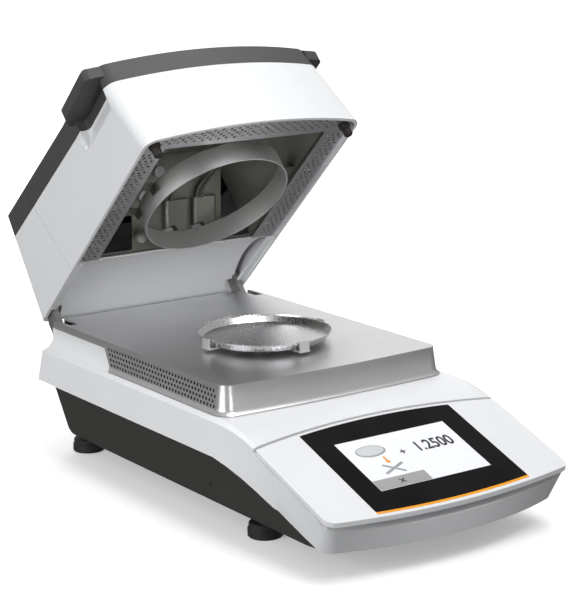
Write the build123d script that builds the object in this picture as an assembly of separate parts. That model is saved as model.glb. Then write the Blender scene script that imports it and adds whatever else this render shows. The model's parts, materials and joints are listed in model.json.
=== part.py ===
"""Benchtop moisture analyzer: a balance with a heated lid, shown with the lid open.

Millimetres, +Z up, +X to the operator's right, the operator stands on the -Y side.
The pieces are drawn with the pan's axis at Y = 0 and the floor at Z = 0, the lid in its
closed place. Then the lid is swung open, and the whole is centred on its footprint.
"""
from build123d import *
from math import atan, cos, pi, sin
import os

# Housing
WALL = 2.5                  # moulded wall of the housing and the tray
HOUSING_REAR = 161.0        # rear face
SHELF_Z = 82.0              # flat shelf that carries the chamber plate
SHELF_HALF = 99.0           # half width of the shelf
CREASE_HALF = 103.0         # half width at the crease along each side
CREASE_DROP = 2.0           # the crease lies this far below the shelf
BAND_HALF = 107.5           # half width at the lower edge of the side band
BAND_Z = 57.5               # height of that lower edge
BAND_FRONT = -95.0          # the side band is straight back from here
BAND_EASE = 0.18            # how gently it bends down there
BAND_STEP = 16.0            # spacing of the points along the bend
BAND_STEPS = 7
BAND_RUN = 12.0             # the form runs on this far below its edge
NOSE_HALF = 98.0            # half width of the lower edge at the front corners
NOSE_Z = 19.0               # height of the lower edge at the front
NOSE_START = -209.0         # front corners of the lower edge
NOSE_BULGE = 19.0           # bow of the lower front edge
NOSE_CORNER = 12.0
NOSE_FLARE = 24.0           # the trim of the front wall clears the sides by this much
NOSE_REACH = 80.0
NOSE_STEP = 12.0
NOSE_STEPS = (-0.2, 0.6, 1.6, 2.7, 3.9, 6, 8.5, 12)
SHOULDER_HALF = 92.8        # raised shoulder beside the rear of the chamber
SHOULDER_Z = 97.1
SHOULDER_FRONT = 77.0       # front end of the shoulder at its top
SHOULDER_LEAN = 12.0        # the shoulder's end leans forward by this much

# Control panel, tilted towards the operator
PANEL_SLOPE = 0.3554        # rise per millimetre of depth
PANEL_LEVEL = 122.4         # height of the panel's plane over the pan's axis
PANEL_THICK = 3.2
PANEL_HALF = 102.5
PANEL_FRONT = -221.0        # at the front corners
PANEL_BULGE = 8.0           # bow of the front edge
PANEL_BACK = -140.0         # at the back corners
PANEL_ARCH = 10.0           # bow of the back edge
PANEL_RADIUS = 8.0
SEAM = 0.4                  # gap between moulded pieces
ROLL_RADIUS = 110.0         # radius of the roll from the shelf into the panel

# Display
GLASS_HALF = 64.3
GLASS_FRONT = -220.8
GLASS_FRONT_BULGE = 3.2
GLASS_BACK = -136.0
GLASS_BACK_BULGE = 4.0
GLASS_THICK = 1.8
GLASS_RADIUS = 1.2
SCREEN_HALF = 46.6
SCREEN_FRONT = -203.8
SCREEN_BACK = -151.4
SCREEN_THICK = 4.5
SCREEN_WELL = 8.0           # margin of the opening under the screen
BOARD_THICK = 1.6
STRIPE_WIDTH = 2.2
STRIPE_THICK = 1.6
FIT_GAP = 0.15              # gap round pieces let into the panel

# Dark base tray
TRAY_Z = 13.0
TRAY_HALF_LOW = 91.0
TRAY_HALF_HIGH = 104.6
TRAY_NOSE_LOW = 90.0        # half width at the front
TRAY_NOSE_HIGH = 99.0
TRAY_REAR_LOW = 152.0
TRAY_REAR_HIGH = 158.2
TRAY_FRONT = -203.5
TRAY_BULGE = 19.0
TRAY_RISE_Y = -172.0        # the underside rises ahead of here
TRAY_RISE = 0.17            # by this much per millimetre
TRAY_LOFT_Z = 68.0          # height at which the upper sizes hold
TRAY_CORNER = 14.0
TRAY_EDGE = ((0.0, 4.2), (0.9, 2.2), (2.6, 0.8), (6.0, 0.0))    # rounding of the bottom edge
TRAY_LIP = 3.0              # the tray reaches this far up inside the housing
TRAY_RIM = 2.0              # thickness of the rim that closes the gap to the housing
SLOT_Y = -82.5              # blind slot in each side
SLOT_Z = 27.5
SLOT_LENGTH = 30.0
SLOT_HEIGHT = 5.0
SLOT_FLOOR = 92.6           # half width at the bottom of the slots

# Chamber plate, a folded steel cover with perforated sides
PLATE_TOP = 103.0
PLATE_HALF = 93.2
PLATE_FRONT = -88.0
PLATE_BULGE = 3.5
PLATE_REAR = 160.0
PLATE_SHEET = 1.2
PLATE_LIP = 5.5             # depth of the lip along the rear
PLATE_FOOT = 82.6           # bottom of the skirt
PLATE_CORNER = 8.0
SKIRT_STEPS = ((0.0, 0.0), (0.3, 4.0), (2.2, 18.0), (4.8, 20.4))
HOLE_WIDE = 1.9             # perforations of the plate's sides
HOLE_TALL = 2.4
HOLE_PITCH = 4.6
HOLE_ROWS = 4
HOLE_ROW_PITCH = 3.4
HOLE_TOP = 98.0             # middle of the upper row
HOLE_FRONT = -80.0
HOLE_BACK = 64.0
POST_HOLE_R = 9.0
PLATE_SHELF = 4.0           # width of the shelf under the skirt

# Pan and its support
PAN_R = 49.9
PAN_FLAT_R = 46.2
PAN_RIM_Z = 112.6
PAN_SHEET = 0.5
PAN_DEPTH = 5.6
PAN_BAND = 1.2              # turned rim
SUPPORT_SHEET = 1.4
SUPPORT_ARM_W = 9.0
SUPPORT_HUB_R = 11.0
TAB_W = 8.0
TAB_R = 50.7                # inner face of the upright tabs
TAB_OVER = 0.8              # the tabs stand this far over the rim
SEAT_GAP = 0.3              # pieces that rest on each other
POST_R = 6.0
POST_TOP = 103.5
PIN_TOP = 106.0
PIN_R = 2.5
RUN = 0.05                  # running clearance on a pin

# Weighing cell and electronics
CELL_LOW = 34.0
CELL_HIGH = 60.0
CELL_HALF = 15.0
CELL_END = 14.0
CELL_LENGTH = 100.0
CELL_EYE_R = 7.0
CELL_FOOT = 26.0
BOARD_HALF = 62.0
BOARD_FRONT = -160.0
BOARD_BACK = -40.0
SUPPLY_X = 31.0
SUPPLY_W = 36.0
SUPPLY_H = 34.0
SUPPLY_FRONT = 20.0
SUPPLY_BACK = 118.0

# Lid, as it lies closed. Back is measured from the bottom front corners,
# up from the plane of the lower rim.
LID_FRONT = -84.7
LID_BOTTOM = 110.9
LID_HALF = 94.0
LID_WALL = 2.5
LID_LENGTH = 237.3
LID_REAR_LEAN = 12.6
LID_REAR_UP = 92.8
LID_FRONT_UP = 84.2
LID_KNEE = 92.0             # the top starts to rise here
LID_FRONT_LEAN = 21.9
LID_BULGE = 11.9
LID_CORNER = 12.0
LID_REAR_CORNER = 5.0
REAR_PANEL_RISE = 13.0
REAR_PANEL_SHEET = 2.0
FLANGE_HALF = 85.3          # inner edge of the flange beside the inner rear panel
FLANGE_UP = 1.2
FLANGE_SHEET = 2.0
NOTCH_HALF = 77.5           # stepped corners of that panel
NOTCH_BACK = 225.5
PAD_BACK = 77.0             # raised pad behind each finger scoop
PAD_UP = 55.3
PAD_TURN = 64.0
PAD_LENGTH = 13.5
PAD_WIDTH = 5.0
PAD_RISE = 1.0
LID_TILT = 43.07            # degrees open
HINGE_Y = 149.3
HINGE_Z = 73.0
COVER_FRONT_UP = 64.9       # lower edge of the dark cover
COVER_REAR_UP = 74.3
SPLIT_LOW = 162.4           # parting line of front and rear shell
SPLIT_HIGH = 182.9
FRAME_UP = 3.6              # perforated frame, above the rim plane
FRAME_SHEET = 1.0
VENT_LONG = 3.4             # slots of the lid's air frame
VENT_WIDE = 1.9
VENT_PITCH = 6.4
VENT_ROW_PITCH = 5.0
VENT_ROWS = 3
VENT_INSET = 5.6            # first row, from the lid's wall
CAVITY_HALF = 70.6
CAVITY_FRONT = 16.0
CAVITY_BACK = 158.3

# Handle wings of the cover
WING_HALF = 104.8
WING_FRONT = 19.0
WING_BACK = 76.7
WING_LOW = 73.5
SCOOP_DEPTH = 8.0
SCOOP_FRONT = 22.0
SCOOP_BACK = 72.0
SCOOP_LOW = 47.0
SCOOP_RISE = 15.0
SCOOP_SLANT = 0.6

# Heater under the lid
HOOD_SHEET = 0.8
HOOD_UP = 58.0
HOOD_TOP_HALF = 32.0
HOOD_TOP_FRONT = 40.0
HOOD_TOP_BACK = 105.0
HOOD_STRIP = 3.0            # strip of the rear wall left under its open corners
REAR_HALF = 41.0            # half width of the rear wall between its open corners
POCKET_X = (-3.0, 22.7)     # the two lamp pockets on the hood's rear wall
POCKET_W = 21.5
POCKET_LOW = 14.0           # from the wall's lower edge, up the slope
POCKET_HIGH = 39.5
POCKET_H = 6.0
POCKET_WALL = 1.4
POCKET_DEEP = 9.0           # depth of the opening in a pocket's upper end
NOTCH_X = -5.5              # notch round each screw, from the pocket's middle
NOTCH_R = 6.0
HEAD_R = 4.4
HEAD_H = 2.4
POST_X = -20.0              # round post near the top of the wall
POST_UP = 64.0
HEX_X = -32.7               # hexagonal standoff
HEX_UP = 45.4
HEX_R = 5.0
SENSOR_X = -35.0
SENSOR_UP = 13.0
SENSOR_R = 4.3
LEAD_X = -4.0               # where the leads leave a pocket, from its middle
LEAD_OUT = 2.9              # and how far off the wall
LEAD_REACH = 16.0           # how far they run to the right
LEAD_THICK = 2.4
LEAD_BUNDLE = 7.0           # width of the bundle
RING_R = 58.2
RING_SHEET = 0.8
RING_LOW = -6.6
RING_HEIGHT = 16.4
BRACKET_UP = 2.0            # height of the ring's brackets over the frame
BRACKET_Y = 16.0
BRACKET_W = 9.0
BRACKET_TAB = 5.0
BUMPER_R = 4.4
BUMPER_DROP = 7.5
BUMPER_COLLAR = 3.0
BUMPER_X = 83.3
BUMPER_BACK = 8.2

# Hinge
SHAFT_R = 4.0
ARM_INNER = 84.0
ARM_THICK = 5.0
ARM_GAP = 0.9
ARM_UP = 40.0               # the arms reach this far up inside the lid
SLOT_TOP = 130.0
ARM_FRONT = 138.0
ARM_REAR = 152.0
BOSS_R = 8.0
BRACKET_THICK = 4.0
BRACKET_FOOT = 16.0         # length of a bracket's foot

# Feet
FOOT_X = 77.0
FOOT_FRONT_Y = -112.0
FOOT_REAR_Y = 138.0
FOOT_R = 12.5
FOOT_THICK = 10.5
STUD_R = 3.0
STUD_TOP = 34.0
FOOT_FLOOR = 2.0            # thickness left under the stud
FOOT_TRAVEL = 2.0           # levelling travel up and down
RIDGE_R = 11.6              # the disc is narrower above its ridge
RIDGE_Z = 6.0
BUSH_TOP = 28.0
BUSH_R = 6.0

# Sockets in the rear wall: x, width, height
INLET = (-52.0, 27.0, 20.0)
USB = (40.0, 14.0, 14.0)
SOCKET_Z = 38.0
SOCKET_FACE = 157.5
SOCKET_RIM = 1.6
SOCKET_CLEAR = 5.0          # the contacts end this far inside the face

# Beyond the object on the operator's side and at the rear
FRONT = -300.0
BACK = 300.0


def block(x_low, x_high, y_low, y_high, z_low, z_high):
    """A box between two corners."""
    size = (x_high - x_low, y_high - y_low, z_high - z_low)
    return Pos(x_low, y_low, z_low) * Box(*size, align=(Align.MIN, Align.MIN, Align.MIN))


def rod(x, y, z_low, z_high, radius):
    """An upright cylinder."""
    base = (Align.CENTER, Align.CENTER, Align.MIN)
    return Pos(x, y, z_low) * Cylinder(radius, z_high - z_low, align=base)


def cross_rod(x_low, x_high, y, z, radius):
    """A cylinder along X."""
    base = (Align.CENTER, Align.CENTER, Align.MIN)
    return Pos(x_low, y, z) * Rot(0, 90, 0) * Cylinder(radius, x_high - x_low, align=base)


def side_prism(points, x_low, x_high):
    """A prism along X from a side view, given as (y, z) points."""
    face = Plane.YZ * Polygon(*points, align=None)
    return Pos(x_low, 0, 0) * extrude(face, x_high - x_low, dir=(1, 0, 0))


def front_prism(points, y_low, y_high):
    """A prism along Y from a front view, given as (x, z) points."""
    face = Plane.XZ * Polygon(*points, align=None)
    return Pos(0, y_low, 0) * extrude(face, y_high - y_low, dir=(0, 1, 0))


def both_sides(shape):
    """A shape and its mirror image across the middle."""
    return shape + mirror(shape, Plane.YZ)


def bowed(x_half, y, bow):
    """An edge across the middle, bowed along Y."""
    if bow:
        return ThreePointArc((-x_half, y), (0, y + bow), (x_half, y))
    return Line((-x_half, y), (x_half, y))


def plan(half_front, half_back, y_front, bulge, y_back, arch, r_front, r_back):
    """A plan outline: bowed front and back edges, straight sides, rounded corners."""
    face = make_face([
        bowed(half_front, y_front, -bulge),
        Line((half_front, y_front), (half_back, y_back)),
        bowed(half_back, y_back, arch),
        Line((-half_back, y_back), (-half_front, y_front)),
    ])
    if r_front:
        face = fillet(face.vertices().sort_by(Axis.Y)[:2], r_front)
    if r_back:
        face = fillet(face.vertices().sort_by(Axis.Y)[-2:], r_back)
    return face


def panel_z(y):
    """Height of the panel's plane."""
    return PANEL_LEVEL + PANEL_SLOPE * y


def panel_slab(top, bottom):
    """Everything between two depths below the panel's plane."""
    return side_prism([
        (FRONT, panel_z(FRONT) - top),
        (0, panel_z(0) - top),
        (0, panel_z(0) - bottom),
        (FRONT, panel_z(FRONT) - bottom),
    ], -2 * PANEL_HALF, 2 * PANEL_HALF)


def sunk(outline, top, bottom):
    """A plan outline cut out of the panel between two depths."""
    return extrude(outline, 2 * PANEL_LEVEL) & panel_slab(top, bottom)


def band_low(y):
    """Half width and height of the housing's lower edge at a depth."""
    reach = min(1.0, max(0.0, (BAND_FRONT - y) / (BAND_FRONT - NOSE_START)))
    ease = reach - BAND_EASE * sin(reach * pi) * (1 - reach)
    return BAND_HALF + (NOSE_HALF - BAND_HALF) * ease, BAND_Z + (NOSE_Z - BAND_Z) * ease


def top_z(y):
    """Height of the housing's top at a depth: shelf, roll, then the panel's plane."""
    roll = atan(PANEL_SLOPE)
    y_end = (SHELF_Z - ROLL_RADIUS * (1 - cos(roll)) - PANEL_LEVEL) / PANEL_SLOPE
    y_start = y_end + ROLL_RADIUS * sin(roll)
    if y >= y_start:
        return SHELF_Z
    if y >= y_end:
        return SHELF_Z - ROLL_RADIUS + (ROLL_RADIUS**2 - (y_start - y) ** 2) ** 0.5
    return panel_z(y)


def band_line(shift):
    """The housing's lower edge in side view, moved up by a distance."""
    depths = [BAND_FRONT - BAND_STEP * step for step in range(BAND_STEPS)]
    edge = [(y, band_low(y)[1] + shift) for y in (BACK, *depths, NOSE_START, FRONT)]
    return [*edge, (FRONT, -BACK), (BACK, -BACK)]


def under_band(shift):
    """Everything below the housing's lower edge, moved up by a distance."""
    return side_prism(band_line(shift), -BACK, BACK)


def housing_section(y, inset):
    """A cross-section of the housing, seen along Y, running on below its lower edge."""
    low_half, low_z = band_low(y)
    high = top_z(y)
    flat = top_z(PANEL_BACK)
    drop = max(0.4, CREASE_DROP * (high - flat) / (SHELF_Z - flat))
    flare = (low_half - CREASE_HALF) / (high - drop - low_z)
    right = [
        (low_half - inset + BAND_RUN * flare, low_z - BAND_RUN),
        (CREASE_HALF - inset, high - drop - inset),
        (SHELF_HALF - inset, high - inset),
    ]
    left = [(-x, z) for x, z in reversed(right)]
    section = Plane(origin=(0, y, 0), x_dir=(1, 0, 0), z_dir=(0, -1, 0))
    return section * Polygon(*right, *left, align=None)


def nose_trim(inset):
    """The space behind the bowed front wall."""
    def outline(half, bulge, front, radius):
        side = half + NOSE_FLARE
        bend = PANEL_BACK - NOSE_FLARE
        right = Polyline((half, front), (half, bend), (side, BAND_FRONT), (side, BACK), (0, BACK))
        left = mirror(right, Plane.YZ)
        face = make_face([bowed(half, front, -bulge), *right.edges(), *left.edges()])
        return fillet(face.vertices().sort_by(Axis.Y)[:2], radius)

    low = outline(NOSE_HALF - inset, NOSE_BULGE, NOSE_START + inset, NOSE_CORNER)
    high = outline(PANEL_HALF - inset, PANEL_BULGE, PANEL_FRONT + inset, PANEL_RADIUS)
    knee = panel_z(PANEL_FRONT)
    wall = loft([Pos(0, 0, NOSE_Z) * low, Pos(0, 0, knee) * high], ruled=True)
    return wall + Pos(0, 0, knee) * extrude(high, NOSE_REACH) + Pos(0, 0, -BAND_RUN) * extrude(low, NOSE_Z + BAND_RUN)


def housing_form(inset):
    """The housing's outer body, or its inside when inset by a wall."""
    depths = [BAND_FRONT - NOSE_STEP * step for step in NOSE_STEPS]
    rear = housing_section(HOUSING_REAR - inset, inset)
    body = extrude(rear, HOUSING_REAR - inset - depths[0])
    nose = loft([housing_section(y, inset) for y in depths])
    return (body + nose) & nose_trim(inset)


def shoulder():
    """Raised shoulder on the right, with a concave foot and a slanted front end."""
    foot_z = SHELF_Z - CREASE_DROP
    inner = SHOULDER_HALF - WALL
    outline = make_face([
        Polyline((SHOULDER_HALF, SHOULDER_Z), (inner, SHOULDER_Z), (inner, foot_z - WALL),
                 (CREASE_HALF - 1, foot_z - WALL), (CREASE_HALF - 1, foot_z + 0.3), (SHELF_HALF + 1, foot_z + 1)),
        ThreePointArc((SHELF_HALF + 1, foot_z + 1), (SHOULDER_HALF + 2, SHELF_Z + 3.5),
                      (SHOULDER_HALF, SHOULDER_Z)),
    ])
    rise = extrude(Plane.XZ * outline, HOUSING_REAR, dir=(0, 1, 0))
    lean = SHOULDER_LEAN / (SHOULDER_Z - SHELF_Z)
    ahead = [(SHOULDER_FRONT + lean * (z - SHOULDER_Z), z) for z in (SHELF_Z - 20, SHOULDER_Z + 20)]
    return rise - side_prism([(-BACK, ahead[0][1]), ahead[0], ahead[1], (-BACK, ahead[1][1])], 0, BACK)


def upper_housing():
    """White upper housing, open below, with the raised rear shoulders."""
    shell = housing_form(0) - housing_form(WALL) - under_band(0)
    well = PLATE_HALF - PLATE_SHELF
    shell -= block(-well, well, PLATE_FRONT + PLATE_SHELF, HOUSING_REAR - WALL, SHELF_Z - 8, SHELF_Z + 8)
    rear_wall = block(-SHOULDER_HALF, SHOULDER_HALF, HOUSING_REAR - WALL, HOUSING_REAR, SHELF_Z - 8, SHOULDER_Z)
    shell += both_sides(shoulder()) + rear_wall
    shell -= arm_slots(HOUSING_REAR - 2 * WALL, HINGE_Z + 1.5)
    shell -= screen_block(SCREEN_WELL, -1, PANEL_THICK * 5)
    recess = plan(PANEL_HALF + 9, PANEL_HALF + 9, FRONT, 0, PANEL_BACK + SEAM, PANEL_ARCH * 1.18, 0, 0)
    return shell - sunk(recess, -20, PANEL_THICK + SEAM)


def arm_slots(y_low, z_low):
    """Room for the hinge arms, open to the rear."""
    side = block(ARM_INNER - ARM_GAP, ARM_INNER + ARM_THICK + ARM_GAP, y_low, HOUSING_REAR + 5, z_low, SLOT_TOP)
    return both_sides(side)


def glass_outline(gap):
    """Plan outline of the display glass."""
    return plan(GLASS_HALF + gap, GLASS_HALF + gap, GLASS_FRONT - gap, GLASS_FRONT_BULGE,
                GLASS_BACK + gap, GLASS_BACK_BULGE, GLASS_RADIUS, GLASS_RADIUS)


def stripe_outline(gap):
    """Plan outline of the coloured strip along the front of the glass."""
    ahead = plan(GLASS_HALF + gap, GLASS_HALF + gap, GLASS_FRONT - STRIPE_WIDTH - gap, GLASS_FRONT_BULGE,
                 GLASS_FRONT + 30, 0, GLASS_RADIUS, 0)
    return ahead - glass_outline(FIT_GAP - gap / 2)


def screen_block(gap, top, bottom):
    """The screen's rectangle between two depths."""
    middle = (SCREEN_FRONT + SCREEN_BACK) / 2
    outline = Pos(0, middle) * Rectangle(2 * (SCREEN_HALF + gap), SCREEN_BACK - SCREEN_FRONT + 2 * gap)
    return sunk(outline, top, bottom)


def control_panel():
    """White bezel round the display."""
    outline = plan(PANEL_HALF, PANEL_HALF, PANEL_FRONT, PANEL_BULGE, PANEL_BACK, PANEL_ARCH, PANEL_RADIUS, 2.0)
    body = sunk(outline, 0, PANEL_THICK)
    body -= sunk(glass_outline(FIT_GAP), -1, GLASS_THICK + FIT_GAP)
    body -= sunk(stripe_outline(FIT_GAP), -1, STRIPE_THICK + FIT_GAP)
    return body - screen_block(1.0, -1, PANEL_THICK + 1)


def display_glass():
    """Black-bordered glass with the screen's window."""
    return sunk(glass_outline(0), 0, GLASS_THICK) - screen_block(FIT_GAP, -1, GLASS_THICK + 1)


def accent_stripe():
    """Coloured strip let into the panel."""
    return sunk(stripe_outline(0), 0, STRIPE_THICK)


def lcd_screen():
    """Screen module, its face just under the glass's face."""
    return screen_block(0, 0.1, SCREEN_THICK)


def display_board():
    """Circuit board behind the screen, with its parts on the underside."""
    outline = Pos(0, (SCREEN_FRONT + SCREEN_BACK) / 2) * Rectangle(2 * SCREEN_HALF + 8, 56)
    board = sunk(outline, SCREEN_THICK + SEAT_GAP, SCREEN_THICK + SEAT_GAP + BOARD_THICK)
    chip = Pos(-12, SCREEN_BACK - 30) * Rectangle(16, 16)
    low = SCREEN_THICK + SEAT_GAP + BOARD_THICK
    return board + sunk(chip, low - 0.2, low + 2)


def tray_form(inset):
    """The tray's outer body, or its inside."""
    def outline(up, trim):
        part_up = up / (TRAY_LOFT_Z - TRAY_Z)
        nose = TRAY_NOSE_LOW + (TRAY_NOSE_HIGH - TRAY_NOSE_LOW) * part_up - trim - inset
        half = TRAY_HALF_LOW + (TRAY_HALF_HIGH - TRAY_HALF_LOW) * part_up - trim - inset
        rear = TRAY_REAR_LOW + (TRAY_REAR_HIGH - TRAY_REAR_LOW) * part_up - trim - inset
        corner = TRAY_CORNER - inset
        return plan(nose, half, TRAY_FRONT + trim + inset, TRAY_BULGE, rear, 0, corner, corner)

    layers = [Pos(0, 0, TRAY_Z + inset + up) * outline(up, trim) for up, trim in TRAY_EDGE]
    layers.append(Pos(0, 0, TRAY_LOFT_Z + inset) * outline(TRAY_LOFT_Z - TRAY_Z, 0))
    low_z = TRAY_Z + inset
    return loft(layers, ruled=True) & side_prism([
        (BACK, low_z - 1), (BACK, BACK), (FRONT, BACK),
        (FRONT, low_z + TRAY_RISE * (TRAY_RISE_Y - FRONT)), (TRAY_RISE_Y, low_z), (TRAY_RISE_Y, low_z - 1),
    ], FRONT, BACK)


def tray_rim():
    """Rim round the tray's top that fits inside the housing's wall."""
    inside = housing_form(WALL + SEAM)
    ring = inside & (under_band(TRAY_LIP) - under_band(TRAY_LIP - TRAY_RIM))
    return ring - tray_form(WALL) - arm_slots(HOUSING_REAR - 3 * WALL, HINGE_Z)


def foot_places():
    """Centres of the four feet, by name."""
    return {
        "front_left": (-FOOT_X, FOOT_FRONT_Y),
        "front_right": (FOOT_X, FOOT_FRONT_Y),
        "rear_left": (-FOOT_X, FOOT_REAR_Y),
        "rear_right": (FOOT_X, FOOT_REAR_Y),
    }


def base_tray():
    """Dark lower tray with the slots in its sides and the bosses of the feet."""
    body = ((tray_form(0) - tray_form(WALL)) & under_band(TRAY_LIP)) + tray_rim()
    for x, y in foot_places().values():
        body += rod(x, y, TRAY_Z + 1, BUSH_TOP, BUSH_R + WALL)
        body -= rod(x, y, 0, BUSH_TOP + 1, BUSH_R + RUN)
    slot = Pos(SLOT_FLOOR, 0, 0) * extrude(Plane.YZ * Pos(SLOT_Y, SLOT_Z) * SlotOverall(SLOT_LENGTH, SLOT_HEIGHT), BACK)
    body -= both_sides(slot)
    for x, width, height in (INLET, USB):
        body -= block(x - width / 2 - SEAM, x + width / 2 + SEAM, TRAY_REAR_LOW - 20, BACK,
                      SOCKET_Z - height / 2 - SEAM, SOCKET_Z + height / 2 + SEAM)
    return body


def foot_bushes():
    """Threaded bushes pressed into the tray, as plain sleeves."""
    return [rod(x, y, TRAY_Z, BUSH_TOP, BUSH_R) - rod(x, y, 0, BUSH_TOP + 1, STUD_R + RUN)
            for x, y in foot_places().values()]


def foot_stud(x, y):
    """Threaded stud of one foot, as a plain rod."""
    return rod(x, y, FOOT_FLOOR + SEAT_GAP, STUD_TOP, STUD_R)


def foot_disc(x, y):
    """Turned disc of one foot, with a ridge round it."""
    outline = Polyline(
        (0, 0), (FOOT_R - 0.8, 0), (FOOT_R, 0.8), (FOOT_R, RIDGE_Z), (RIDGE_R, RIDGE_Z + 0.9),
        (RIDGE_R, FOOT_THICK - 0.8), (RIDGE_R - 0.8, FOOT_THICK), (0, FOOT_THICK), close=True)
    disc = revolve(Plane.XZ * make_face(outline), Axis.Z)
    return Pos(x, y, 0) * disc - rod(x, y, FOOT_FLOOR, FOOT_THICK + 1, STUD_R + RUN)


def side_holes():
    """Staggered rows of upright holes, each cut through both sides of the skirt."""
    made = []
    count = round((HOLE_BACK - HOLE_FRONT) / HOLE_PITCH)
    for row in range(HOLE_ROWS):
        z = HOLE_TOP - row * HOLE_ROW_PITCH
        stagger = HOLE_PITCH / 2 * (row % 2)
        for step in range(count):
            y = HOLE_FRONT + stagger + step * HOLE_PITCH
            made.append(block(-BACK, BACK, y - HOLE_WIDE / 2, y + HOLE_WIDE / 2, z - HOLE_TALL / 2, z + HOLE_TALL / 2))
    return made


def chamber_plate():
    """Folded steel cover with its skirt."""
    def form(inset):
        layers = []
        for out, down in SKIRT_STEPS:
            half = PLATE_HALF + out - inset
            outline = plan(half, half, PLATE_FRONT - out + inset, PLATE_BULGE, PLATE_REAR + out - inset, 0,
                           PLATE_CORNER + out, 3.0)
            layers.append(Pos(0, 0, PLATE_TOP - inset - down) * outline)
        return loft(layers, ruled=True)

    sheet = form(0) - form(PLATE_SHEET)
    lean = SHOULDER_LEAN / (SHOULDER_Z - SHELF_Z)
    lip = PLATE_TOP - PLATE_LIP
    sheet &= side_prism([
        (FRONT, 0), (FRONT, BACK), (PLATE_REAR, BACK), (PLATE_REAR, lip),
        (SHOULDER_FRONT - SEAM, lip), (SHOULDER_FRONT - SEAM - lean * lip, 0),
    ], -BACK, BACK)
    sheet -= rod(0, 0, 0, BACK, POST_HOLE_R)
    return sheet - arm_slots(ARM_FRONT - ARM_GAP, SHELF_Z) - side_holes()


def sample_pan():
    """Shallow sheet pan with a flared wall."""
    low = PAN_RIM_Z - PAN_DEPTH
    outline = make_face(Polyline(
        (0, low), (PAN_FLAT_R, low), (PAN_R, PAN_RIM_Z - PAN_BAND), (PAN_R + 0.3, PAN_RIM_Z),
        (PAN_R - 0.4, PAN_RIM_Z), (PAN_R - PAN_SHEET, PAN_RIM_Z - PAN_BAND),
        (PAN_FLAT_R - 0.3, low + PAN_SHEET), (0, low + PAN_SHEET), close=True))
    return revolve(Plane.XZ * outline, Axis.Z)


def pan_support():
    """Cross that carries the pan, its ends turned up over the pan's rim."""
    high = PAN_RIM_Z - PAN_DEPTH - SEAT_GAP
    low = high - SUPPORT_SHEET
    reach = TAB_R + SUPPORT_SHEET
    cross = rod(0, 0, low, high, SUPPORT_HUB_R)
    for turn in range(4):
        arm = block(0, reach, -SUPPORT_ARM_W / 2, SUPPORT_ARM_W / 2, low, high)
        tab = block(TAB_R, reach, -TAB_W / 2, TAB_W / 2, low, PAN_RIM_Z + TAB_OVER)
        cross += Rot(0, 0, 90 * turn) * (arm + tab)
    cross += rod(0, 0, POST_TOP + SEAT_GAP, high, PIN_R + 3)
    return cross - rod(0, 0, 0, PIN_TOP + SEAT_GAP, PIN_R + RUN)


def pan_post():
    """Post from the weighing cell, with the pin that centres the support."""
    return rod(0, 0, CELL_HIGH + SEAT_GAP, POST_TOP, POST_R) + rod(0, 0, POST_TOP, PIN_TOP, PIN_R)


def weighing_cell():
    """Parallel-guide weighing cell, cut from one block."""
    body = block(-CELL_HALF, CELL_HALF, -CELL_END, CELL_LENGTH - CELL_END, CELL_LOW, CELL_HIGH)
    middle = (CELL_LOW + CELL_HIGH) / 2
    y_low = CELL_END * 0.9
    y_high = CELL_LENGTH - 2.2 * CELL_END
    for y in (y_low, y_high):
        body -= cross_rod(-BACK, BACK, y, middle, CELL_EYE_R)
    return body - block(-BACK, BACK, y_low, y_high, middle - CELL_EYE_R / 2, middle + CELL_EYE_R / 2)


def cell_bracket():
    """Foot that holds the fixed end of the weighing cell to the tray."""
    back = CELL_LENGTH - CELL_END
    floor = TRAY_Z + WALL + SEAT_GAP
    body = block(-CELL_HALF, CELL_HALF, back - CELL_FOOT, back, floor, CELL_LOW - SEAT_GAP)
    return body + block(-CELL_HALF - 14, CELL_HALF + 14, back - CELL_FOOT, back, floor, floor + 4)


def main_board():
    """Main circuit board on four pillars of the tray."""
    floor = TRAY_Z + WALL + SEAT_GAP
    board = block(-BOARD_HALF, BOARD_HALF, BOARD_FRONT, BOARD_BACK, floor + 6, floor + 6 + BOARD_THICK)
    for x in (-BOARD_HALF + 6, BOARD_HALF - 6):
        for y in (BOARD_FRONT + 6, BOARD_BACK - 6):
            board += rod(x, y, floor, floor + 6.5, 3)
    top = floor + 6 + BOARD_THICK - 0.2
    board += block(-20, 4, BOARD_FRONT + 14, BOARD_FRONT + 38, top, top + 3)
    return board + block(22, 44, BOARD_FRONT + 8, BOARD_FRONT + 20, top, top + 11)


def power_supply():
    """Closed supply module beside the mains inlet."""
    floor = TRAY_Z + WALL + SEAT_GAP
    body = block(-SUPPLY_X - SUPPLY_W, -SUPPLY_X, SUPPLY_FRONT, SUPPLY_BACK, floor, floor + SUPPLY_H)
    return chamfer(body.faces().sort_by(Axis.Z)[-1].edges(), 2)


def socket_block(place, depth, deep, core):
    """A socket in the rear wall: an outer block with a hollow and its contact core."""
    x, width, height = place
    low, high = SOCKET_Z - height / 2, SOCKET_Z + height / 2
    body = block(x - width / 2, x + width / 2, SOCKET_FACE - depth, SOCKET_FACE, low, high)
    rim = SOCKET_RIM
    body -= block(x - width / 2 + rim, x + width / 2 - rim, SOCKET_FACE - deep, SOCKET_FACE + 1,
                  low + rim, high - rim)
    for x_pin, z_pin in core:
        body += block(x + x_pin - 1, x + x_pin + 1, SOCKET_FACE - deep - 0.5, SOCKET_FACE - SOCKET_CLEAR,
                      SOCKET_Z + z_pin - 2, SOCKET_Z + z_pin + 2)
    return body


def power_inlet():
    """Three-pin mains inlet."""
    return socket_block(INLET, 26.0, 16.0, ((-7.0, -2.0), (0.0, 2.5), (7.0, -2.0)))


def usb_socket():
    """Square data socket."""
    return socket_block(USB, 16.0, 9.0, ((0.0, 0.0),))


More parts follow.
